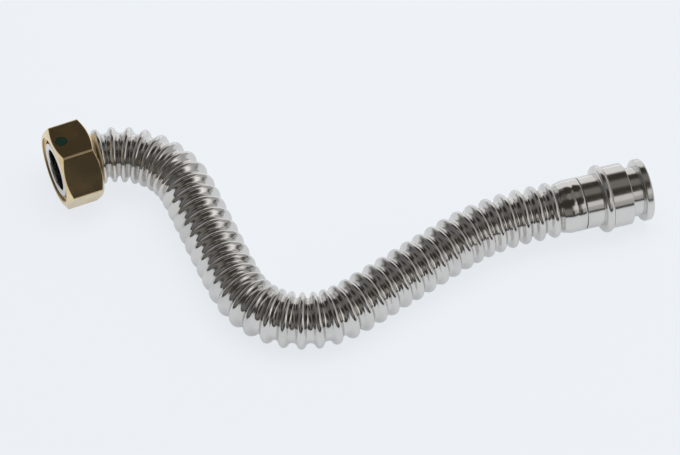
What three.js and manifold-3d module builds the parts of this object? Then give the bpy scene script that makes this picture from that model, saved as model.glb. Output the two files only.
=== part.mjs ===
// Corrugated water pipe: an annular stainless tube with a loose brass union nut on its
// flanged end and a plug-in spigot on its other end, bent by hand and lying on a table.
// Millimetres, +Z up. The axis of the tube runs from the nut, at -X, to the spigot, at +X.

import * as THREE from 'three';
import Module from 'manifold-3d';
import { mergeVertices } from 'three/addons/utils/BufferGeometryUtils.js';

const wasm = await Module();
wasm.setup();

// Corrugated wall
const wall = 0.3;
const crestRadius = 10.85;
const rootRadius = 8.5;
const shoulderDrop = 0.5;
const foldCount = 42;
const foldPitch = 5.96;
const foldClosing = 2.5;
const shoulderShare = 0.2;
const rootShare = 0.36;
const tubeSides = 14;

// Flanged neck, which the nut turns on
const flangeRadius = 10.8;
const flangeThickness = 1.2;
const neckLength = 18.2;
const neckSetback = 0.4;

// Belled cuff, which holds the spigot
const cuffLength = 12.2;
const cuffStart = 3.6;
const cuffStartRadius = 9.4;
const cuffRadius = 10.4;
const cuffSteps = 4;

// Union nut, 3/4 inch pipe thread
const nutAcrossFlats = 30;
const nutLength = 15.35;
const nutFaceSetback = 0.7;
const nutChamferAngle = 30;
const threadMinorRadius = 12.1;
const threadReliefRadius = 13.3;
const reliefLength = 2;
const nutLipThickness = 3;
const nutLipClearance = 0.35;
const nutEdgeBreak = 0.5;
const nutSides = 36;

// Spigot
const boreRadius = 8;
const tailRadius = 10.3;
const stubClearance = 0.3;
const stubLength = 5;
const seam = 0.3;
const tailLength = 7;
const beadRadius = 13.3;
const beadThickness = 3.2;
const barrelRadius = 12.2;
const barrelLength = 8.1;
const grooveRadius = 9.7;
const grooveLength = 5;
const endFlangeThickness = 3.2;
const rimRound = 0.8;
const mouthChamfer = 0.6;
const spigotSides = 32;

// Route of the tube's axis in plan: headings from +X, anticlockwise positive
const startHeading = 23.7;
const neckRun = 12.5;
const firstBend = { turn: -90.5, length: 50.8, ramp: 0.1 };
const leftRun = 39.8;
const secondBend = { turn: 104.1, length: 66, ramp: 0.23 };
const rightRun = 40.9;
const thirdBend = { turn: -20.9, length: 34.5, ramp: 0.15 };
const routeStep = 0.25;

// Heading gained at a share u of a bend whose curvature rises, holds and falls again.
function turned(bend, u) {
  const r = bend.ramp;
  const gain = bend.turn / (1 - r);
  if (u <= 0) return 0;
  if (u >= 1) return bend.turn;
  if (u < r) return gain * u * u / (2 * r);
  if (u < 1 - r) return gain * (u - r / 2);
  return bend.turn - gain * (1 - u) ** 2 / (2 * r);
}

const bends = [
  { ...firstBend, start: neckRun },
  { ...secondBend, start: neckRun + firstBend.length + leftRun },
  { ...thirdBend, start: neckRun + firstBend.length + leftRun + secondBend.length + rightRun },
];
const lowestStation = bends[1].start + secondBend.length / 2;

function headingAt(s) {
  let degrees = startHeading;
  for (const bend of bends) {
    degrees += turned(bend, (s - bend.start) / bend.length);
  }
  return THREE.MathUtils.degToRad(degrees);
}

function curvatureAt(s) {
  return Math.abs(headingAt(s + routeStep) - headingAt(s - routeStep)) / (2 * routeStep);
}

// Stations of the fold crests: the folds sit a little closer where the tube is bent.
function foldStations() {
  const stations = [neckLength + neckSetback];
  while (stations.length < foldCount) {
    const last = stations[stations.length - 1];
    const middle = last + foldPitch / 2;
    stations.push(last + foldPitch * (1 - foldClosing * curvatureAt(middle)));
  }
  return stations;
}

const crests = foldStations();
const lastCrest = crests[crests.length - 1];
const cuffEdge = lastCrest + cuffLength;

// Height of the axis: the nut lies on a flat, the second bend and the spigot's bead touch the table.
function heightAt(s) {
  const nutHeight = nutAcrossFlats / 2;
  const down = THREE.MathUtils.smoothstep(s, neckRun, lowestStation);
  const up = THREE.MathUtils.smoothstep(s, lowestStation, lastCrest);
  return nutHeight + (crestRadius - nutHeight) * down + (beadRadius - crestRadius) * up;
}

// Plan of the axis, stepped once along its whole length and read off between the steps.
const planPoints = [new THREE.Vector2(0, 0)];
for (let s = 0; s < cuffEdge + stubLength; s += routeStep) {
  const heading = headingAt(s + routeStep / 2);
  const step = new THREE.Vector2(Math.cos(heading), Math.sin(heading)).multiplyScalar(routeStep);
  planPoints.push(planPoints[planPoints.length - 1].clone().add(step));
}

function axisPoint(s) {
  const i = THREE.MathUtils.clamp(Math.floor(s / routeStep), 0, planPoints.length - 2);
  const plan = planPoints[i].clone().lerp(planPoints[i + 1], s / routeStep - i);
  return new THREE.Vector3(plan.x, plan.y, heightAt(s));
}

// A point on the tube at a station, at a radius and an angle round the axis from straight down.
function ringPoint(s, radius, angle) {
  const centre = axisPoint(s);
  const ahead = axisPoint(s + routeStep).sub(axisPoint(s - routeStep)).normalize();
  const side = new THREE.Vector3(0, 0, 1).cross(ahead).normalize();
  const up = ahead.clone().cross(side);
  centre.addScaledVector(side, radius * Math.sin(angle));
  return centre.addScaledVector(up, -radius * Math.cos(angle));
}

// Sweeps a closed profile of [station, radius] points round the tube's axis.
function sweepProfile(profile, sides) {
  const positions = [];
  for (const [s, radius] of profile) {
    for (let j = 0; j < sides; j += 1) {
      positions.push(...ringPoint(s, radius, 2 * Math.PI * j / sides).toArray());
    }
  }
  const index = [];
  profile.forEach((_, i) => {
    const here = i * sides;
    const next = ((i + 1) % profile.length) * sides;
    for (let j = 0; j < sides; j += 1) {
      const k = (j + 1) % sides;
      index.push(here + j, here + k, next + j);
      index.push(next + j, here + k, next + k);
    }
  });
  const geometry = new THREE.BufferGeometry();
  geometry.setAttribute('position', new THREE.Float32BufferAttribute(positions, 3));
  geometry.setIndex(index);
  geometry.computeVertexNormals();
  return geometry;
}

// Outside of one fold: root, rounded crest, root.
function foldOutside(crest, pitch) {
  return [
    [crest - rootShare * pitch, rootRadius],
    [crest - shoulderShare * pitch, crestRadius - shoulderDrop],
    [crest, crestRadius],
    [crest + shoulderShare * pitch, crestRadius - shoulderDrop],
    [crest + rootShare * pitch, rootRadius],
  ];
}

// Inside of the same fold, one wall further in, with a flat crest.
function foldInside(crest, pitch) {
  const shoulder = shoulderShare * pitch - wall * 0.7;
  const root = rootShare * pitch - wall / 2;
  const innerCrest = crestRadius - shoulderDrop - wall;
  return [
    [crest - root, rootRadius - wall],
    [crest - shoulder, innerCrest],
    [crest + shoulder, innerCrest],
    [crest + root, rootRadius - wall],
  ];
}

function localPitch(i) {
  const before = crests[Math.max(i - 1, 0)];
  const after = crests[Math.min(i + 1, crests.length - 1)];
  return (after - before) / (i === 0 || i === crests.length - 1 ? 1 : 2);
}

// Outside of the cuff: a cone from the last root that eases out to the spigot's seat.
function cuffOutside() {
  const points = [];
  for (let i = 0; i < cuffSteps; i += 1) {
    const s = THREE.MathUtils.lerp(lastCrest + cuffStart, cuffEdge - stubLength, i / (cuffSteps - 1));
    const ease = THREE.MathUtils.smoothstep(i, -1, cuffSteps - 1);
    points.push([s, THREE.MathUtils.lerp(cuffStartRadius, cuffRadius, ease)]);
  }
  points.push([cuffEdge, cuffRadius]);
  return points;
}

function tubeProfile() {
  const outside = [
    [neckSetback, rootRadius - wall],
    [neckSetback, flangeRadius],
    [neckSetback + flangeThickness, flangeRadius],
    [neckSetback + flangeThickness, rootRadius],
  ];
  const inside = [];
  crests.forEach((crest, i) => {
    outside.push(...foldOutside(crest, localPitch(i)));
    inside.push(...foldInside(crest, localPitch(i)));
  });
  const cuff = cuffOutside();
  outside.push(...cuff);
  inside.push(...cuff.map(([s, radius]) => [s, radius - wall]));
  return [...outside, ...inside.reverse()];
}

function corrugatedTube() {
  return sweepProfile(tubeProfile(), tubeSides);
}

// Turns a closed [x, radius] profile about the X axis.
function turnedSolid(profile, sides) {
  const points = profile.map(([x, radius]) => new THREE.Vector2(radius, x));
  points.push(points[0].clone());
  return new THREE.LatheGeometry(points, sides).rotateZ(-Math.PI / 2);
}

// Points of a rim's quarter round between two angles in degrees, centred at [x, radius].
function quarterRound(x, radius, size, from, to, steps = 3) {
  const points = [];
  for (let i = 0; i <= steps; i += 1) {
    const angle = THREE.MathUtils.degToRad(THREE.MathUtils.lerp(from, to, i / steps));
    points.push([x + size * Math.cos(angle), radius + size * Math.sin(angle)]);
  }
  return points;
}

// A collar with rounded rims, as part of a turned profile.
function collar(start, end, radius, round) {
  return [
    ...quarterRound(start + round, radius - round, round, 180, 90),
    ...quarterRound(end - round, radius - round, round, 90, 0),
  ];
}

// Spigot: a stub inside the cuff, the tail, the retaining bead, the barrel, the seal groove
// and the end flange, with one bore through them all.
function spigot() {
  const step = stubLength + seam;
  const beadStart = step + tailLength;
  const beadEnd = beadStart + beadThickness;
  const barrelEnd = beadEnd + barrelLength;
  const grooveEnd = barrelEnd + grooveLength;
  const end = grooveEnd + endFlangeThickness;
  const cuffInside = (cuffRadius - wall) * Math.cos(Math.PI / tubeSides);
  const stubRadius = cuffInside - stubClearance;
  return turnedSolid([
    [0, boreRadius],
    [0, stubRadius],
    [step, stubRadius],
    [step, tailRadius],
    [beadStart, tailRadius],
    ...collar(beadStart, beadEnd, beadRadius, beadThickness * 0.45),
    [beadEnd, barrelRadius],
    [barrelEnd - rimRound / 2, barrelRadius],
    [barrelEnd, barrelRadius - rimRound / 2],
    [barrelEnd, grooveRadius],
    [grooveEnd, grooveRadius],
    ...collar(grooveEnd, end, barrelRadius, rimRound),
    [end, boreRadius + mouthChamfer],
    [end - mouthChamfer, boreRadius],
  ], spigotSides);
}

function solidOf(geometry) {
  const bare = geometry.clone();
  bare.deleteAttribute('normal');
  bare.deleteAttribute('uv');
  const merged = mergeVertices(bare, 1e-4);
  const vertProperties = new Float32Array(merged.attributes.position.array);
  const triVerts = new Uint32Array(merged.index.array);
  return new wasm.Manifold(new wasm.Mesh({ numProp: 3, vertProperties, triVerts }));
}

function geometryOf(solid) {
  const mesh = solid.getMesh();
  const geometry = new THREE.BufferGeometry();
  geometry.setAttribute('position', new THREE.Float32BufferAttribute(mesh.vertProperties, 3));
  geometry.setIndex([...mesh.triVerts]);
  geometry.computeVertexNormals();
  return geometry;
}

// Union nut: a hexagon with both ends turned off to a chamfer, bored from the mouth down to
// the lip that bears on the tube's flange.
function unionNut() {
  const cornerRadius = nutAcrossFlats / Math.sqrt(3);
  const outline = new THREE.Shape();
  for (let i = 0; i < 6; i += 1) {
    const angle = Math.PI * (1 / 6 + i / 3);
    const corner = [cornerRadius * Math.cos(angle), cornerRadius * Math.sin(angle)];
    if (i === 0) outline.moveTo(...corner);
    else outline.lineTo(...corner);
  }
  outline.closePath();
  const bar = new THREE.ExtrudeGeometry(outline, { depth: nutLength, bevelEnabled: false });
  bar.rotateY(Math.PI / 2);

  const overcut = 1;
  const faceRadius = nutAcrossFlats / 2 - nutFaceSetback;
  const blankRadius = cornerRadius + overcut;
  const chamfer = (blankRadius - faceRadius) * Math.tan(THREE.MathUtils.degToRad(nutChamferAngle));
  const blank = turnedSolid([
    [0, 0],
    [0, faceRadius],
    [chamfer, blankRadius],
    [nutLength - chamfer, blankRadius],
    [nutLength, faceRadius],
    [nutLength, 0],
  ], nutSides);

  const lipRadius = rootRadius + nutLipClearance;
  const lipStart = nutLength - nutLipThickness;
  const countersink = threadReliefRadius - threadMinorRadius;
  const bore = turnedSolid([
    [-overcut, 0],
    [-overcut, threadReliefRadius],
    [0, threadReliefRadius],
    [countersink, threadMinorRadius],
    [lipStart - reliefLength, threadMinorRadius],
    [lipStart - reliefLength + nutEdgeBreak, threadReliefRadius],
    [lipStart, threadReliefRadius],
    [lipStart, lipRadius],
    [nutLength - nutEdgeBreak, lipRadius],
    [nutLength, lipRadius + nutEdgeBreak],
    [nutLength + overcut, lipRadius + nutEdgeBreak],
    [nutLength + overcut, 0],
  ], nutSides);

  return geometryOf(solidOf(bar).intersect(solidOf(blank)).subtract(solidOf(bore)));
}

function namedMesh(name, geometry, color, roughness, metalness) {
  const mesh = new THREE.Mesh(geometry, new THREE.MeshStandardMaterial({ color, roughness, metalness }));
  mesh.name = name;
  return mesh;
}

function placeOnRoute(mesh, station) {
  mesh.position.copy(axisPoint(station));
  mesh.rotation.z = headingAt(station);
  return mesh;
}

const pipe = new THREE.Group();
pipe.add(namedMesh('corrugated_tube', corrugatedTube(), 0xc9cac8, 0.18, 1));
pipe.add(placeOnRoute(namedMesh('spigot', spigot(), 0xcfcfcc, 0.15, 1), cuffEdge - stubLength));
pipe.add(placeOnRoute(namedMesh('union_nut', unionNut(), 0xa98a55, 0.3, 1), 0));

// The origin is under the middle of the whole pipe's footprint, on the table.
const bounds = new THREE.Box3().setFromObject(pipe);
const middle = bounds.getCenter(new THREE.Vector3());
pipe.position.set(-middle.x, -middle.y, -bounds.min.z);

export default pipe;
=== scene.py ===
import bpy
import math
import random
from mathutils import Matrix, Vector


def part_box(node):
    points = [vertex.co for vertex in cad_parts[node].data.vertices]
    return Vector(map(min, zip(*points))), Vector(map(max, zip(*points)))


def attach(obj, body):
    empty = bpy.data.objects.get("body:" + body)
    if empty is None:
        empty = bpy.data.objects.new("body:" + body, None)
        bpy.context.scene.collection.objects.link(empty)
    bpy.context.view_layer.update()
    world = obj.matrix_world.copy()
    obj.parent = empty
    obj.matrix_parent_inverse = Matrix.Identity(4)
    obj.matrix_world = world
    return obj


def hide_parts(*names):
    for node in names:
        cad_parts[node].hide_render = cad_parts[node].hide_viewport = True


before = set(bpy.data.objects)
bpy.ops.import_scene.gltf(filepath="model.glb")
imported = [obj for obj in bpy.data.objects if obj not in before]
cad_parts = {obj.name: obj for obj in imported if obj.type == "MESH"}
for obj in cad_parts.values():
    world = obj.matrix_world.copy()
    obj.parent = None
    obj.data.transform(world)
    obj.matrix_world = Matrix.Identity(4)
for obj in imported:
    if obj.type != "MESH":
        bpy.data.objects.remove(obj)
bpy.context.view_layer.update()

mm = 0.001


# The corrugated tube is one thin stainless tube, bulged into rings between two dies so that it
# can be bent by hand. Its nut end is flared to a flat sealing flange, and its other end is
# drawn out to a smooth cuff that is welded round the spigot.

crest_radius = 10.85 * mm
root_radius = 8.5 * mm
fold_count = 42
fold_pitch = 5.96 * mm
fold_closing = 2.5 * mm
crest_share = 0.5
wall = 0.3 * mm
tube_sides = 72
rows_per_fold = 20
inner_rows_per_fold = 8
row_crowding = 0.14
turn_onset = 1.7
lean_spread = math.radians(0.7)
lean_seed = 16
merge_distance = 0.001 * mm

flange_radius = 10.8 * mm
flange_thickness = 1.2 * mm
neck_length = 18.2 * mm
neck_setback = 0.4 * mm
cuff_length = 12.2 * mm
cuff_start = 3.4 * mm
cuff_start_radius = 9.4 * mm
cuff_radius = 10.4 * mm
cuff_ease_start = -0.35
cuff_rows = 8
neck_rows = 12
weld_band = 3.4 * mm
nut_across_flats = 30 * mm
nut_length = 15.35 * mm
bead_radius = 13.3 * mm
stub_length = 5 * mm

start_heading = math.radians(23.7)
neck_run = 12.5 * mm
first_bend = {"turn": math.radians(-90.5), "length": 50.8 * mm, "ramp": 0.1}
left_run = 39.8 * mm
second_bend = {"turn": math.radians(104.1), "length": 66 * mm, "ramp": 0.23}
right_run = 40.9 * mm
third_bend = {"turn": math.radians(-20.9), "length": 34.5 * mm, "ramp": 0.15}
route_step = 0.25 * mm

first_bend["start"] = neck_run
second_bend["start"] = first_bend["start"] + first_bend["length"] + left_run
third_bend["start"] = second_bend["start"] + second_bend["length"] + right_run
bends = (first_bend, second_bend, third_bend)
lowest_station = second_bend["start"] + second_bend["length"] / 2


def turned(bend, share):
    ramp = bend["ramp"]
    gain = bend["turn"] / (1 - ramp)
    if share <= 0:
        return 0.0
    if share >= 1:
        return bend["turn"]
    if share < ramp:
        return gain * share ** 2 / (2 * ramp)
    if share < 1 - ramp:
        return gain * (share - ramp / 2)
    return bend["turn"] - gain * (1 - share) ** 2 / (2 * ramp)


def heading_at(station):
    return start_heading + sum(turned(b, (station - b["start"]) / b["length"]) for b in bends)


def fold_stations():
    stations = [neck_length + neck_setback]
    while len(stations) < fold_count:
        middle = stations[-1] + fold_pitch / 2
        gained = heading_at(middle + route_step) - heading_at(middle - route_step)
        curvature = abs(gained) / (2 * route_step)
        stations.append(stations[-1] + fold_pitch * (1 - fold_closing * curvature))
    return stations


crests = fold_stations()
cuff_edge = crests[-1] + cuff_length


def smooth(value, low, high):
    share = min(max((value - low) / (high - low), 0.0), 1.0)
    return share * share * (3 - 2 * share)


def height_at(station):
    nut_height = nut_across_flats / 2
    down = smooth(station, neck_run, lowest_station)
    up = smooth(station, lowest_station, crests[-1])
    return nut_height + (crest_radius - nut_height) * down + (bead_radius - crest_radius) * up


# The nut lies straight on the first of the route, so its box tells where the route starts.
nut_low, nut_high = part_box("union_nut")
nut_middle = (Vector(nut_low) + Vector(nut_high)) / 2
start_ahead = Vector((math.cos(start_heading), math.sin(start_heading)))
plan_points = [nut_middle.to_2d() - start_ahead * nut_length / 2]
while len(plan_points) * route_step < cuff_edge + stub_length + route_step:
    heading = heading_at((len(plan_points) - 0.5) * route_step)
    step = Vector((math.cos(heading), math.sin(heading))) * route_step
    plan_points.append(plan_points[-1] + step)


def axis_point(station):
    whole = min(max(int(station / route_step), 0), len(plan_points) - 2)
    plan = plan_points[whole].lerp(plan_points[whole + 1], station / route_step - whole)
    return Vector((plan.x, plan.y, height_at(station)))


def ring_frame(heading, station):
    rise = height_at(station + route_step) - height_at(station - route_step)
    slope = math.atan2(rise, 2 * route_step)
    across = Vector((-math.sin(heading), math.cos(heading), 0))
    upright = Vector((-math.cos(heading) * math.sin(slope), -math.sin(heading) * math.sin(slope),
                      math.cos(slope)))
    return across, upright


# One row for each ring of the tube's skin: where it is along the route, its heading, how far
# from its fold's crest it lies on an unbent tube, its plain radius off the folds, its depth.
def fold_rings(index, steps, depth):
    crest = crests[index]
    before = crests[index - 1] if index > 0 else 2 * crest - crests[1]
    after = crests[index + 1] if index < fold_count - 1 else 2 * crest - crests[-2]
    rings = []
    for i in range(steps):
        share = -1 + 2 * (i + 0.5) / steps
        bulge = share - row_crowding * math.sin(2 * math.pi * share)
        reach = (after - crest if share > 0 else crest - before) / 2
        station = crest + bulge * reach
        end_heading = heading_at(crest + math.copysign(reach, share))
        heading = heading_at(crest)
        heading += (end_heading - heading) * abs(bulge) ** turn_onset
        rings.append((station, heading, abs(bulge) * fold_pitch / 2, 0.0, depth))
    return rings


def sleeve_ring(station, radius):
    return (station, heading_at(station), 0.0, radius, 0.0)


def rounded_corner(station, radius, size, start, end, steps=4):
    rows = []
    for i in range(steps + 1):
        angle = math.radians(start + (end - start) * i / steps)
        rows.append(sleeve_ring(station + size * math.cos(angle), radius + size * math.sin(angle)))
    return rows


# The weld's shallow groove round the cuff, and the cuff's edge, which is rolled in a little.
def cuff_end_rows():
    groove = cuff_edge - weld_band
    groove_depth = 0.1 * mm
    far_rise = 0.02 * mm
    groove_half = 0.15 * mm
    groove_shoulder = 0.5 * mm
    rolled_in = ((0.6 * mm, 0.0), (0.15 * mm, 0.06 * mm), (0.0, 0.2 * mm))
    rows = [(groove - groove_shoulder, cuff_radius),
            (groove - groove_half, cuff_radius - groove_depth),
            (groove + groove_half, cuff_radius - groove_depth),
            (groove + groove_shoulder, cuff_radius + far_rise)]
    return rows + [(cuff_edge - before, cuff_radius - down) for before, down in rolled_in]


def tube_rings():
    face = neck_setback
    back = neck_setback + flange_thickness
    lip = 0.5 * mm
    rim = 0.3 * mm
    hold = 0.05 * mm
    rings = rounded_corner(face + lip, root_radius - wall + lip, lip, 270, 180)
    rings += [sleeve_ring(face, root_radius - wall + lip + hold),
              sleeve_ring(face, flange_radius - rim - hold)]
    rings += rounded_corner(face + rim, flange_radius - rim, rim, 180, 90)
    rings += rounded_corner(back - rim, flange_radius - rim, rim, 90, 0)
    rings += rounded_corner(back + rim, root_radius + rim, rim, 180, 270)[:-1]
    first_root = crests[0] - fold_pitch / 2
    neck_span = first_root - back - rim
    for i in range(neck_rows + 1):
        rings.append(sleeve_ring(back + rim + neck_span * i / neck_rows, root_radius))
    for index in range(fold_count):
        rings += fold_rings(index, rows_per_fold, 0.0)
    outside = []
    flare_length = cuff_edge - stub_length - crests[-1] - cuff_start
    for i in range(cuff_rows + 1):
        share = i / cuff_rows
        station = crests[-1] + cuff_start + share * flare_length
        ease = smooth(share, cuff_ease_start, 1)
        outside.append((station, cuff_start_radius + (cuff_radius - cuff_start_radius) * ease))
    outside += cuff_end_rows()
    rings += [sleeve_ring(*row) for row in outside]
    rings += [sleeve_ring(s, r - wall) for s, r in reversed(outside)]
    for index in reversed(range(fold_count)):
        rings += reversed(fold_rings(index, inner_rows_per_fold, wall))
    rings += [sleeve_ring(first_root, root_radius - wall), sleeve_ring(back, root_radius - wall)]
    return rings


def named_values(mesh, name, kind, values):
    layer = mesh.attributes.new(name, kind, "POINT")
    key = "vector" if kind == "FLOAT_VECTOR" else "value"
    flat = [part for value in values for part in value] if key == "vector" else list(values)
    layer.data.foreach_set(key, flat)


# Every fold of a real tube is bulged and bent a little differently from its neighbours.
uneven = random.Random(lean_seed)
fold_lean = [uneven.gauss(0, lean_spread) for _ in crests]


def lean_at(station):
    nearest = min(range(fold_count), key=lambda i: abs(crests[i] - station))
    share = abs(crests[nearest] - station) / (fold_pitch / 2)
    return fold_lean[nearest] * max(0.0, 1 - share ** 2)


def ring_radius(ring):
    if ring[3] > 0:
        return ring[3]
    waver = math.cos(2 * math.pi * ring[2] / fold_pitch)
    return (crest_radius + root_radius) / 2 + (crest_radius - root_radius) / 2 * waver


# How far along the skin each row lies: the drawing and polishing lines run across this.
def lengths_along(points):
    lengths = [0.0]
    for (x0, r0), (x1, r1) in zip(points, points[1:]):
        lengths.append(lengths[-1] + math.hypot(x1 - x0, r1 - r0))
    return lengths


def route_object(rings):
    mesh = bpy.data.meshes.new("tube_rings")
    mesh.from_pydata([axis_point(ring[0]) for ring in rings], [], [])
    frames = [ring_frame(ring[1] + lean_at(ring[0]), ring[0]) for ring in rings]
    named_values(mesh, "across", "FLOAT_VECTOR", [across for across, _ in frames])
    named_values(mesh, "upright", "FLOAT_VECTOR", [upright for _, upright in frames])
    named_values(mesh, "from_crest", "FLOAT", [ring[2] for ring in rings])
    named_values(mesh, "sleeve", "FLOAT", [ring[3] for ring in rings])
    named_values(mesh, "depth", "FLOAT", [ring[4] for ring in rings])
    skin = [(ring[0], ring_radius(ring)) for ring in rings]
    named_values(mesh, "along", "FLOAT", lengths_along(skin))
    thing = bpy.data.objects.new("corrugated_wall", mesh)
    bpy.context.scene.collection.objects.link(thing)
    return thing


class Wiring:
    """Short words for wiring a node tree."""

    def __init__(self, tree):
        self.tree = tree

    def add(self, kind, **settings):
        node = self.tree.nodes.new(kind)
        for name, value in settings.items():
            setattr(node, name, value)
        return node

    def join(self, source, target):
        if isinstance(source, (int, float, tuple)):
            target.default_value = source
        else:
            self.tree.links.new(source, target)

    def math(self, operation, *values):
        node = self.add("ShaderNodeMath", operation=operation)
        for value, socket in zip(values, node.inputs):
            self.join(value, socket)
        return node.outputs[0]

    def vector(self, operation, *values):
        node = self.add("ShaderNodeVectorMath", operation=operation)
        for value, socket in zip(values, node.inputs):
            self.join(value, socket)
        return node.outputs["Value" if operation in ("LENGTH", "DISTANCE") else "Vector"]

    def scaled(self, vector, scale):
        node = self.add("ShaderNodeVectorMath", operation="SCALE")
        self.join(vector, node.inputs[0])
        self.join(scale, node.inputs["Scale"])
        return node.outputs["Vector"]

    def smooth_step(self, value, low, high):
        node = self.add("ShaderNodeMapRange", interpolation_type="SMOOTHSTEP")
        self.join(value, node.inputs["Value"])
        self.join(low, node.inputs["From Min"])
        self.join(high, node.inputs["From Max"])
        return node.outputs["Result"]

    def mix(self, factor, first, second):
        node = self.add("ShaderNodeMix", data_type="RGBA")
        self.join(factor, node.inputs["Factor"])
        self.join(first, node.inputs["A"])
        self.join(second, node.inputs["B"])
        return node.outputs["Result"]

    def choose(self, switch, off, on):
        node = self.add("GeometryNodeSwitch", input_type="FLOAT")
        for value, name in ((switch, "Switch"), (off, "False"), (on, "True")):
            self.join(value, node.inputs[name])
        return node.outputs[0]

    def noise(self, vector, scale, detail=2.0, roughness=0.5):
        node = self.add("ShaderNodeTexNoise")
        for value, name in ((vector, "Vector"), (scale, "Scale"), (detail, "Detail"),
                            (roughness, "Roughness")):
            self.join(value, node.inputs[name])
        return node.outputs["Fac"]


# The wall's rule: a round crest and a round root that meet tangentially, turned round each
# ring's own middle. The rows are joined in one closed loop, outside and then back inside.
def wall_tree():
    tree = bpy.data.node_groups.new("Corrugated wall", "GeometryNodeTree")
    for name, kind in (("Rings", "NodeSocketGeometry"), ("Sides", "NodeSocketInt"),
                       ("Crest radius", "NodeSocketFloat"), ("Root radius", "NodeSocketFloat"),
                       ("Pitch", "NodeSocketFloat"), ("Crest share", "NodeSocketFloat"),
                       ("Steel", "NodeSocketMaterial")):
        tree.interface.new_socket(name, in_out="INPUT", socket_type=kind)
    tree.interface.new_socket("Wall", in_out="OUTPUT", socket_type="NodeSocketGeometry")
    w = Wiring(tree)
    given = w.add("NodeGroupInput").outputs
    rings = given["Rings"]
    sides = given["Sides"]

    size = w.add("GeometryNodeAttributeDomainSize", component="MESH")
    w.join(rings, size.inputs["Geometry"])
    ring_count = size.outputs["Point Count"]
    columns = w.math("ADD", sides, 1)
    grid = w.add("GeometryNodeMeshGrid")
    w.join(w.math("ADD", ring_count, 1), grid.inputs["Vertices X"])
    w.join(columns, grid.inputs["Vertices Y"])

    number = w.add("GeometryNodeInputIndex").outputs[0]
    row = w.math("FLOORED_MODULO", w.math("FLOOR", w.math("DIVIDE", number, columns)), ring_count)
    column = w.math("FLOORED_MODULO", number, columns)
    angle = w.math("MULTIPLY", w.math("DIVIDE", column, sides), 2 * math.pi)

    def read(name, kind):
        field = w.add("GeometryNodeInputNamedAttribute", data_type=kind)
        field.inputs["Name"].default_value = name
        return sampled(field.outputs["Attribute"], kind)

    def sampled(field, kind):
        sample = w.add("GeometryNodeSampleIndex", data_type=kind, domain="POINT", clamp=True)
        w.join(rings, sample.inputs["Geometry"])
        w.join(field, sample.inputs["Value"])
        w.join(row, sample.inputs["Index"])
        return sample.outputs["Value"]

    centre = sampled(w.add("GeometryNodeInputPosition").outputs[0], "FLOAT_VECTOR")
    across = read("across", "FLOAT_VECTOR")
    upright = read("upright", "FLOAT_VECTOR")
    off_crest = read("from_crest", "FLOAT")
    sleeve = read("sleeve", "FLOAT")
    depth = read("depth", "FLOAT")

    half_pitch = w.math("DIVIDE", given["Pitch"], 2)
    fold_depth = w.math("SUBTRACT", given["Crest radius"], given["Root radius"])
    squares = w.math("ADD", w.math("POWER", half_pitch, 2), w.math("POWER", fold_depth, 2))
    both_rounds = w.math("DIVIDE", squares, w.math("MULTIPLY", fold_depth, 2))
    crest_round = w.math("MULTIPLY", both_rounds, given["Crest share"])
    root_round = w.math("SUBTRACT", both_rounds, crest_round)

    def arc(radius, offset):
        left = w.math("SUBTRACT", w.math("POWER", radius, 2), w.math("POWER", offset, 2))
        return w.math("SQRT", w.math("MAXIMUM", left, 0.0))

    on_crest = w.math("ADD", w.math("SUBTRACT", given["Crest radius"], crest_round),
                      arc(crest_round, off_crest))
    off_root = w.math("SUBTRACT", half_pitch, off_crest)
    in_root = w.math("SUBTRACT", w.math("ADD", given["Root radius"], root_round),
                     arc(root_round, off_root))
    crest_reach = w.math("MULTIPLY", half_pitch, given["Crest share"])
    past_flank = w.math("GREATER_THAN", off_crest, crest_reach)
    folded = w.math("SUBTRACT", w.choose(past_flank, on_crest, in_root), depth)
    radius = w.choose(w.math("GREATER_THAN", sleeve, 0.0), folded, sleeve)

    sine = w.math("SINE", angle)
    cosine = w.math("COSINE", angle)
    sideways = w.scaled(across, w.math("MULTIPLY", radius, sine))
    downward = w.scaled(upright, w.math("MULTIPLY", radius, cosine))
    place = w.vector("SUBTRACT", w.vector("ADD", centre, sideways), downward)
    placed = w.add("GeometryNodeSetPosition")
    w.join(grid.outputs["Mesh"], placed.inputs["Geometry"])
    w.join(place, placed.inputs["Position"])
    lay = w.add("ShaderNodeCombineXYZ")
    for value, socket in zip((read("along", "FLOAT"), sine, cosine), lay.inputs):
        w.join(value, socket)
    kept = w.add("GeometryNodeStoreNamedAttribute", data_type="FLOAT_VECTOR", domain="POINT")
    kept.inputs["Name"].default_value = "lay"
    w.join(placed.outputs["Geometry"], kept.inputs["Geometry"])
    w.join(lay.outputs[0], kept.inputs["Value"])
    merged = w.add("GeometryNodeMergeByDistance")
    merged.inputs["Distance"].default_value = merge_distance
    w.join(kept.outputs["Geometry"], merged.inputs["Geometry"])
    real = w.add("GeometryNodeRealizeInstances")
    w.join(merged.outputs["Geometry"], real.inputs["Geometry"])
    painted = w.add("GeometryNodeSetMaterial")
    w.join(real.outputs["Geometry"], painted.inputs["Geometry"])
    w.join(given["Steel"], painted.inputs["Material"])
    w.join(painted.outputs["Geometry"], w.add("NodeGroupOutput").inputs["Wall"])
    return tree


def set_inputs(modifier, **values):
    for item in modifier.node_group.interface.items_tree:
        if item.in_out == "INPUT" and item.name.replace(" ", "_") in values:
            modifier[item.identifier] = values[item.name.replace(" ", "_")]


def plain_mesh(thing, sharp_angle):
    depsgraph = bpy.context.evaluated_depsgraph_get()
    mesh = bpy.data.meshes.new_from_object(thing.evaluated_get(depsgraph))
    thing.modifiers.clear()
    thing.data = mesh
    finish_mesh(mesh, sharp_angle)
    return thing


def finish_mesh(mesh, sharp_angle):
    mesh.shade_smooth()
    mesh.set_sharp_from_angle(angle=math.radians(sharp_angle))


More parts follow.
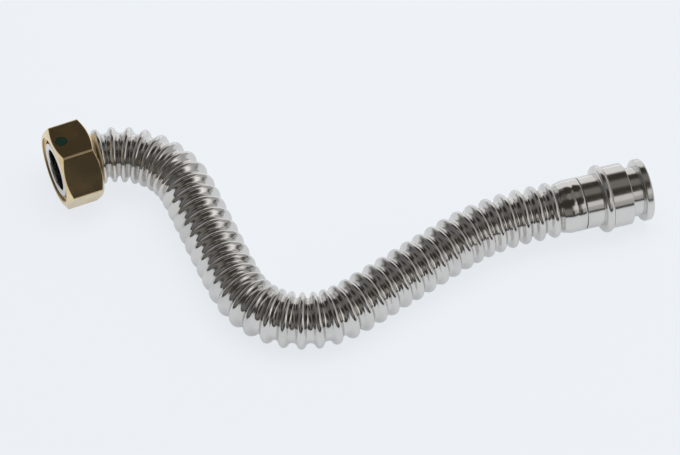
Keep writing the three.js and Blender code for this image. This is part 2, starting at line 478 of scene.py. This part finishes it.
def volume(mesh):
    mesh.calc_loop_triangles()
    points = mesh.vertices
    return sum(points[a].co.dot(points[b].co.cross(points[c].co))
               for a, b, c in (t.vertices for t in mesh.loop_triangles)) / 6


# What handling and forming leave on bright metal: slow waves, drawing lines that run round the
# piece and change a little on the way, fine scratches that lie mostly one way, and smudges.
round_changes = 1.1
scratch_stretch = (1.0, 0.18, 0.6)
smudges_per_metre = 90.0
smudge_edge = (0.42, 0.72)


def handled_metal():
    group = bpy.data.node_groups.new("Handled metal", "ShaderNodeTree")
    for name, kind in (("Point", "NodeSocketVector"), ("Wave size", "NodeSocketFloat"),
                       ("Scratch size", "NodeSocketFloat"), ("Lay", "NodeSocketVector"),
                       ("Line size", "NodeSocketFloat")):
        group.interface.new_socket(name, in_out="INPUT", socket_type=kind)
    for name in ("Waves", "Lines", "Scratches", "Smudges"):
        group.interface.new_socket(name, in_out="OUTPUT", socket_type="NodeSocketFloat")
    w = Wiring(group)
    given = w.add("NodeGroupInput").outputs
    out = w.add("NodeGroupOutput").inputs

    w.join(w.noise(given["Point"], w.math("DIVIDE", 1.0, given["Wave size"])), out["Waves"])

    drawn = w.add("ShaderNodeCombineXYZ")
    across_lines = w.math("DIVIDE", 1.0, given["Line size"])
    for value, socket in zip((across_lines, round_changes, round_changes), drawn.inputs):
        w.join(value, socket)
    lay = w.vector("MULTIPLY", given["Lay"], drawn.outputs[0])
    w.join(w.noise(lay, 1.0, 4.0, 0.55), out["Lines"])

    stretched = w.vector("MULTIPLY", given["Point"], scratch_stretch)
    per_scratch = w.math("DIVIDE", 1.0, given["Scratch size"])
    w.join(w.noise(stretched, per_scratch, 6.0, 0.7), out["Scratches"])

    smudges = w.noise(given["Point"], smudges_per_metre, 4.0)
    w.join(w.smooth_step(smudges, *smudge_edge), out["Smudges"])
    return group


handled = handled_metal()


# Waves, lines and scratches are each given by their size and their height.
def metal(name, color, dull_color, roughness, spread, waves, lines, scratches):
    material = bpy.data.materials.new(name)
    material.use_nodes = True
    w = Wiring(material.node_tree)
    shader = material.node_tree.nodes["Principled BSDF"]
    shader.inputs["Metallic"].default_value = 1.0
    point = w.add("ShaderNodeTexCoord").outputs["Object"]
    marks = w.add("ShaderNodeGroup", node_tree=handled)
    lay = w.add("ShaderNodeAttribute", attribute_name="lay").outputs["Vector"]
    w.join(point, marks.inputs["Point"])
    w.join(lay, marks.inputs["Lay"])
    w.join(waves[0], marks.inputs["Wave size"])
    w.join(lines[0], marks.inputs["Line size"])
    w.join(scratches[0], marks.inputs["Scratch size"])
    w.join(w.mix(marks.outputs["Smudges"], color, dull_color), shader.inputs["Base Color"])
    rough = w.math("MULTIPLY_ADD", marks.outputs["Smudges"], spread, roughness)
    rough = w.math("MULTIPLY_ADD", marks.outputs["Scratches"], spread, rough)
    w.join(rough, shader.inputs["Roughness"])
    normal = None
    for mark, height in (("Waves", waves[1]), ("Lines", lines[1]), ("Scratches", scratches[1])):
        bump = w.add("ShaderNodeBump")
        bump.inputs["Strength"].default_value = 1.0
        bump.inputs["Distance"].default_value = height
        w.join(marks.outputs[mark], bump.inputs["Height"])
        if normal is not None:
            w.join(normal, bump.inputs["Normal"])
        normal = bump.outputs["Normal"]
    w.join(normal, shader.inputs["Normal"])
    return material


clean_steel = (0.68, 0.665, 0.645, 1)
bright_strip = metal("bright_stainless_strip", clean_steel, (0.62, 0.605, 0.585, 1),
                     roughness=0.09, spread=0.06, waves=(6 * mm, 0.03 * mm),
                     lines=(0.5 * mm, 0.015 * mm), scratches=(0.35 * mm, 0.001 * mm))

tube_sharp_angle = 50
tube = route_object(tube_rings())
wall_modifier = tube.modifiers.new("wall", "NODES")
wall_modifier.node_group = wall_tree()
set_inputs(wall_modifier, Sides=tube_sides, Crest_radius=crest_radius, Root_radius=root_radius,
           Pitch=fold_pitch, Crest_share=crest_share, Steel=bright_strip)
tube = plain_mesh(tube, tube_sharp_angle)
if volume(tube.data) < 0:
    tube.data.flip_normals()
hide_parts("corrugated_tube")
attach(tube, "pipe")


# The spigot is turned from stainless bar and bored through. It pushes into a socket, which its
# bead stops at and its groove by the end flange seals in. Its stub is pushed into the tube's
# cuff and welded there.

bore_radius = 8 * mm
tail_radius = 10.3 * mm
stub_radius = 9.5 * mm
seam = 0.3 * mm
tail_length = 7 * mm
bead_thickness = 3.2 * mm
barrel_radius = 12.2 * mm
barrel_length = 8.1 * mm
groove_radius = 9.7 * mm
groove_length = 5 * mm
end_flange_thickness = 3.2 * mm
spigot_sides = 128
spigot_sharp_angle = 35


def corner_points(x, radius, size, start, end, steps=5):
    angles = [math.radians(start + (end - start) * i / steps) for i in range(steps + 1)]
    return [(x + size * math.cos(a), radius + size * math.sin(a)) for a in angles]


# Extra rows close to both ends of each straight stretch keep it straight in its reflections.
def held(points, hold=0.05 * mm):
    kept = []
    for (x0, r0), (x1, r1) in zip(points, points[1:] + points[:1]):
        kept.append((x0, r0))
        length = math.hypot(x1 - x0, r1 - r0)
        if length > 8 * hold:
            for share in (hold / length, 1 - hold / length):
                kept.append((x0 + (x1 - x0) * share, r0 + (r1 - r0) * share))
    return kept


def spigot_profile():
    step = stub_length + seam
    bead_start = step + tail_length
    bead_end = bead_start + bead_thickness
    barrel_end = bead_end + barrel_length
    groove_end = barrel_end + groove_length
    end = groove_end + end_flange_thickness
    fine = 0.15 * mm
    bead_round = bead_thickness * 0.45
    edge_round = 0.4 * mm
    rim = 0.8 * mm
    mouth = 0.6 * mm
    points = corner_points(fine, bore_radius + fine, fine, 270, 180, 2)
    points += corner_points(fine, stub_radius - fine, fine, 180, 90, 2)
    points += [(step, stub_radius)]
    points += corner_points(step + fine, tail_radius - fine, fine, 180, 90, 3)
    points += corner_points(bead_start - fine, tail_radius + fine, fine, 270, 360, 3)
    bead_middle = bead_radius - bead_round
    points += corner_points(bead_start + bead_round, bead_middle, bead_round, 180, 90, 10)
    points += corner_points(bead_end - bead_round, bead_middle, bead_round, 90, 0, 10)
    points += corner_points(bead_end + fine, barrel_radius + fine, fine, 180, 270, 3)
    points += corner_points(barrel_end - edge_round, barrel_radius - edge_round, edge_round, 90, 0)
    points += corner_points(barrel_end + fine, groove_radius + fine, fine, 180, 270, 3)
    points += corner_points(groove_end - fine, groove_radius + fine, fine, 270, 360, 3)
    points += corner_points(groove_end + rim, barrel_radius - rim, rim, 180, 90, 8)
    points += corner_points(end - rim, barrel_radius - rim, rim, 90, 0, 8)
    points += [(end, bore_radius + mouth), (end - mouth, bore_radius)]
    return held(points)


# A closed loop of rows round the X axis, each a list of (x, radius), joined into one skin.
def looped_mesh(name, rows, angles, placing):
    sides = len(angles)
    verts = []
    lay = []
    for row, along in zip(rows, lengths_along([row[0] for row in rows])):
        for (x, radius), angle in zip(row, angles):
            verts.append(placing @ Vector((x, radius * math.sin(angle), radius * math.cos(angle))))
            lay.append((along, math.sin(angle), math.cos(angle)))
    faces = []
    for i in range(len(rows)):
        here = i * sides
        after = (i + 1) % len(rows) * sides
        for j in range(sides):
            k = (j + 1) % sides
            faces.append((here + j, here + k, after + k, after + j))
    mesh = bpy.data.meshes.new(name)
    mesh.from_pydata(verts, [], faces)
    named_values(mesh, "lay", "FLOAT_VECTOR", lay)
    if volume(mesh) < 0:
        mesh.flip_normals()
    thing = bpy.data.objects.new(name, mesh)
    bpy.context.scene.collection.objects.link(thing)
    return thing


def placed_at(station):
    turn = Matrix.Rotation(heading_at(station), 4, "Z")
    return Matrix.Translation(axis_point(station)) @ turn


turned_stainless = metal("turned_stainless", clean_steel, (0.63, 0.615, 0.595, 1),
                         roughness=0.11, spread=0.06, waves=(8 * mm, 0.009 * mm),
                         lines=(0.5 * mm, 0.011 * mm), scratches=(0.35 * mm, 0.001 * mm))

round_angles = [2 * math.pi * j / spigot_sides for j in range(spigot_sides)]
spigot = looped_mesh("plug_in_spigot", [[point] * spigot_sides for point in spigot_profile()],
                     round_angles, placed_at(cuff_edge - stub_length))
finish_mesh(spigot.data, spigot_sharp_angle)
spigot.data.materials.append(turned_stainless)
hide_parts("spigot")
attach(spigot, "pipe")


# The union nut is cut from drawn brass hexagon bar, chamfered at both ends on the lathe, bored
# and threaded inside. It hangs loose on the tube's neck behind the flange, and its lip pulls
# the flange tight. There is a dab of green paint on one flat.

nut_face_setback = 0.7 * mm
nut_chamfer = math.tan(math.radians(30))
thread_minor_radius = 12.1 * mm
thread_major_radius = 13.2 * mm
thread_pitch = 1.814 * mm
relief_length = 2 * mm
nut_lip_thickness = 3 * mm
nut_lip_clearance = 0.35 * mm
nut_edge_break = 0.25 * mm
face_ease = 0.12 * mm
chamfer_ease = 0.2 * mm
corner_round = 0.5 * mm
points_per_flat = 24
rows_per_turn = 12
thread_lead_in = 1.2 * mm
thread_run_out = 0.6 * mm
nut_sharp_angle = 28
dab_place = Vector((4.0 * mm, 0.2 * mm, nut_across_flats / 2))
dab_paint = (0.008, 0.026, 0.017, 1)
dull_roughness = 0.5


# Angles round the nut, closer together at the hexagon's rounded corners.
def nut_angles():
    angles = []
    for flat in range(6):
        middle = math.radians(60 * flat)
        for j in range(points_per_flat):
            share = -1 + 2 * (j + 0.5) / points_per_flat
            angles.append(middle + math.radians(30) * math.sin(share * math.pi / 2))
    return angles


def hexagon_radius(angle):
    apothem = nut_across_flats / 2
    off = abs((angle + math.radians(30)) % math.radians(60) - math.radians(30))
    flat = apothem / math.cos(off)
    reach = (apothem - corner_round) / math.cos(math.radians(30))
    aside = math.radians(30) - off
    if flat * math.sin(off) > (apothem - corner_round) * math.tan(math.radians(30)):
        under = corner_round ** 2 - (reach * math.sin(aside)) ** 2
        return reach * math.cos(aside) + math.sqrt(max(under, 0.0))
    return flat


# A corner of a profile, eased over a short way, with a row close by on each side to hold it.
def eased(before, corner, after, size, hold=0.05 * mm):
    def towards(point, distance):
        length = math.hypot(point[0] - corner[0], point[1] - corner[1])
        share = min(distance / length, 0.45)
        return tuple(c + (p - c) * share for c, p in zip(corner, point))

    start = towards(before, size)
    end = towards(after, size)
    rows = [towards(before, size + hold), start]
    for t in (0.25, 0.5, 0.75):
        rows.append(tuple((1 - t) ** 2 * a + 2 * t * (1 - t) * c + t * t * b
                          for a, c, b in zip(start, corner, end)))
    return rows + [end, towards(after, size + hold)]


def nut_skin(angle):
    face_radius = nut_across_flats / 2 - nut_face_setback
    across = hexagon_radius(angle)
    chamfer = (across - face_radius) * nut_chamfer
    mouth = (0.0, thread_major_radius + nut_edge_break)
    face = (0.0, face_radius)
    shoulder = (chamfer, across)
    middle = (nut_length / 2, across)
    front = [mouth] + eased(mouth, face, shoulder, face_ease)
    front += eased(face, shoulder, middle, chamfer_ease)
    back = [(nut_length - x, r) for x, r in reversed(front[1:])]
    return front + back


def nut_rows(angles):
    rows = [list(row) for row in zip(*(nut_skin(angle) for angle in angles))]
    lip_radius = root_radius + nut_lip_clearance
    lip_start = nut_length - nut_lip_thickness
    thread_end = lip_start - relief_length
    edge = nut_edge_break
    for point in held([(nut_length, lip_radius + edge), (nut_length - edge, lip_radius),
                       (lip_start, lip_radius), (lip_start, thread_major_radius)])[:-2]:
        rows.append([point] * len(angles))
    steps = round(thread_end / (thread_pitch / rows_per_turn))
    for i in range(steps + 1):
        x = thread_end * (1 - i / steps)
        row = []
        for angle in angles:
            phase = (x / thread_pitch - angle / (2 * math.pi)) % 1
            ridge = min(max(1.5 - abs(phase - 0.5) * 5, 0.0), 1.0)
            fade = min(x / thread_lead_in, 1.0) * min((thread_end - x) / thread_run_out, 1.0)
            reach = (thread_major_radius - thread_minor_radius) * ridge * fade
            row.append((x, thread_major_radius - reach))
        rows.append(row)
    return rows


# The brass is bright on the flats and dull in the thread and on the hexagon's rubbed corners.
# The dab's paint runs a little further than the part of it that hides the metal's shine.
def nut_brass():
    material = metal("drawn_brass", (0.87, 0.71, 0.44, 1), (0.74, 0.54, 0.28, 1),
                     roughness=0.10, spread=0.08, waves=(6 * mm, 0.008 * mm),
                     lines=(0.5 * mm, 0.003 * mm), scratches=(0.35 * mm, 0.003 * mm))
    w = Wiring(material.node_tree)
    shader = material.node_tree.nodes["Principled BSDF"]
    point = w.add("ShaderNodeTexCoord").outputs["Object"]

    away = w.vector("DISTANCE", point, tuple(placed_at(0.0) @ dab_place))
    ragged = w.math("MULTIPLY_ADD", w.noise(point, 700.0), 0.7 * mm, away)
    dab = w.math("SUBTRACT", 1.0, w.smooth_step(ragged, 2.45 * mm, 2.75 * mm))
    bare = shader.inputs["Base Color"].links[0].from_socket
    w.join(w.mix(dab, bare, dab_paint), shader.inputs["Base Color"])
    w.join(w.smooth_step(ragged, 2.35 * mm, 2.5 * mm), shader.inputs["Metallic"])

    lay = w.add("ShaderNodeAttribute", attribute_name="lay").outputs["Vector"]
    split = w.add("ShaderNodeSeparateXYZ")
    w.join(lay, split.inputs[0])
    around = w.math("ARCTAN2", split.outputs[1], split.outputs[2])
    off_flat = w.math("ABSOLUTE", w.math("WRAP", around, math.radians(30), math.radians(-30)))
    from_mouth = w.vector("SUBTRACT", point, tuple(placed_at(0.0).translation))
    axis = tuple(start_ahead) + (0.0,)
    from_axis = w.vector("LENGTH", w.vector("CROSS_PRODUCT", from_mouth, axis))
    thread = w.math("SUBTRACT", 1.0, w.smooth_step(from_axis, 13.2 * mm, 13.5 * mm))
    corner = w.math("MULTIPLY", w.smooth_step(off_flat, math.radians(28.1), math.radians(28.9)),
                    w.smooth_step(from_axis, 16.6 * mm, 17.0 * mm))
    dull = w.math("MULTIPLY", w.math("MAXIMUM", corner, thread), dull_roughness)
    bright = shader.inputs["Roughness"].links[0].from_socket
    w.join(w.math("MAXIMUM", bright, dull), shader.inputs["Roughness"])
    return material


hexagon_angles = nut_angles()
nut = looped_mesh("brass_union_nut", nut_rows(hexagon_angles), hexagon_angles, placed_at(0.0))
finish_mesh(nut.data, nut_sharp_angle)
nut.data.materials.append(nut_brass())
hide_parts("union_nut")
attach(nut, "nut")


# The floor is a plain pale sheet that the pipe lies on. It shows as pale as it is, keeps a
# faint shadow under the pipe, and stands a little darker in the metal that mirrors it.

floor_color = (0.858, 0.895, 0.940, 1)
paper_color = (0.8, 0.82, 0.84, 1)
floor_size = 24.0
own_color_share = 0.86
mirrored_share = 0.65

floor_mesh = bpy.data.meshes.new("pale_floor")
half = floor_size / 2
floor_mesh.from_pydata([(-half, -half, 0), (half, -half, 0), (half, half, 0), (-half, half, 0)],
                       [], [(0, 1, 2, 3)])
floor = bpy.data.objects.new("pale_floor", floor_mesh)
bpy.context.scene.collection.objects.link(floor)
floor_paper = bpy.data.materials.new("pale_paper")
floor_paper.use_nodes = True
w = Wiring(floor_paper.node_tree)
paper = floor_paper.node_tree.nodes["Principled BSDF"]
paper.inputs["Base Color"].default_value = paper_color
paper.inputs["Roughness"].default_value = 0.9
paper.inputs["Specular IOR Level"].default_value = 0.1
shown = w.add("ShaderNodeEmission")
shown.inputs["Color"].default_value = floor_color
path = w.add("ShaderNodeLightPath").outputs
seen = w.math("MAXIMUM", path["Is Camera Ray"], path["Is Transmission Ray"])
mirrored = w.math("MULTIPLY", path["Is Glossy Ray"], mirrored_share)
seen = w.math("MAXIMUM", seen, mirrored)
blend = w.add("ShaderNodeMixShader")
w.join(w.math("MULTIPLY", seen, own_color_share), blend.inputs["Fac"])
w.join(paper.outputs["BSDF"], blend.inputs[1])
w.join(shown.outputs["Emission"], blend.inputs[2])
sheet_out = floor_paper.node_tree.nodes["Material Output"]
w.join(blend.outputs["Shader"], sheet_out.inputs["Surface"])
floor_mesh.materials.append(floor_paper)


# The room round the table, with a long pale wall behind it that is brightest on the right, grey
# sides, a dark ceiling with grey parts, and the dark of the room low in front. A soft lamp hangs
# overhead, and two soft cards stand close by, one behind and one in front on the right.

room_dark = (0.045, 0.038, 0.030, 1)

# Each part of the room by its colour, the middle and half width of its span in degrees round
# the table from straight behind, its lower and upper edge in degrees above the table, and how
# softly its sides and its edges end. A later part covers an earlier one.
room_parts = (
    ((0.25, 0.24, 0.23, 1), 0.0, 200.0, 76.0, 100.0, 10.0, 3.0),
    ((0.21, 0.20, 0.19, 1), 70.0, 42.0, 48.0, 77.0, 12.0, 5.0),
    ((0.17, 0.17, 0.17, 1), -95.0, 40.0, 0.0, 72.0, 12.0, 8.0),
    ((0.22, 0.21, 0.19, 1), -165.0, 28.0, 0.0, 36.0, 12.0, 8.0),
    ((0.33, 0.32, 0.31, 1), 138.0, 26.0, 26.0, 46.0, 8.0, 4.0),
    ((0.24, 0.24, 0.24, 1), -46.0, 18.0, 0.0, 47.0, 8.0, 4.0),
    ((0.48, 0.47, 0.46, 1), 86.0, 40.0, -20.0, 49.0, 8.0, 3.0),
    ((0.76, 0.75, 0.74, 1), 106.0, 24.0, 6.0, 50.0, 8.0, 4.0),
    ((0.46, 0.46, 0.46, 1), 24.0, 84.0, -20.0, 36.0, 12.0, 5.0),
    ((0.05, 0.05, 0.05, 1), -170.0, 68.0, -10.0, 9.0, 8.0, 2.0),
)


def room_world():
    world = bpy.data.worlds.new("studio_room")
    bpy.context.scene.world = world
    world.use_nodes = True
    tree = world.node_tree
    tree.nodes.clear()
    w = Wiring(tree)
    direction = w.add("ShaderNodeTexCoord").outputs["Generated"]
    parts = w.add("ShaderNodeSeparateXYZ")
    w.join(direction, parts.inputs[0])
    x, y, z = parts.outputs
    around = w.math("MULTIPLY", w.math("ARCTAN2", x, y), 180 / math.pi)
    above = w.math("MULTIPLY", w.math("ARCSINE", z), 180 / math.pi)

    def panel(light, color, middle, half_width, low, high, side_edge, rim):
        off = w.math("SUBTRACT", around, middle)
        wrapped = w.math("ABSOLUTE", w.math("WRAP", off, 180.0, -180.0))
        outside = w.smooth_step(wrapped, half_width - side_edge, half_width + side_edge)
        over = w.smooth_step(above, low - rim, low + rim)
        under = w.smooth_step(above, high - rim, high + rim)
        between = w.math("SUBTRACT", over, under)
        covered = w.math("MULTIPLY", between, w.math("SUBTRACT", 1.0, outside))
        return w.mix(covered, light, color)

    light = room_dark
    for part in room_parts:
        light = panel(light, *part)
    lit = w.add("ShaderNodeBackground")
    w.join(light, lit.inputs["Color"])
    w.join(lit.outputs[0], w.add("ShaderNodeOutputWorld").inputs["Surface"])


room_world()


# Its shine is how bright its face looks, whatever its size.
def soft_box(name, place, aim, width, height, shine, glossy=True):
    lamp = bpy.data.lights.new(name, "AREA")
    lamp.shape = "RECTANGLE"
    lamp.size = width
    lamp.size_y = height
    lamp.energy = shine * width * height * math.pi
    holder = bpy.data.objects.new(name, lamp)
    holder.location = place
    holder.rotation_euler = (Vector(aim) - Vector(place)).to_track_quat("-Z", "Y").to_euler()
    holder.visible_camera = False
    holder.visible_glossy = glossy
    bpy.context.scene.collection.objects.link(holder)


soft_box("overhead_soft", (0.1, 0.1, 1.2), (0, 0, 0), 1.2, 1.2, 3.0, glossy=False)
soft_box("card_behind", (0.035, 0.22, 0.078), (0.035, 0, 0.078), 0.27, 0.23, 0.45)
soft_box("card_in_front", (0.20, -0.129, 0.118), (0.08, 0.03, 0.118), 0.08, 0.145, 0.42)


# The camera stands in front of the table and looks down at the pipe, from the photograph's
# angle and distance. The lens and the sensor's width are in millimetres.

look_down = 49.7

camera_data = bpy.data.cameras.new("camera")
camera_data.sensor_width = 36
camera_data.lens = 168.35
camera_data.clip_start = 0.05
camera_data.clip_end = 20
camera = bpy.data.objects.new("camera", camera_data)
camera.location = (-0.00189, -0.78858, 0.94602)
camera.rotation_euler = (math.radians(90 - look_down), 0, 0)
bpy.context.scene.collection.objects.link(camera)
bpy.context.scene.camera = camera
bpy.context.scene.view_settings.view_transform = "Standard"
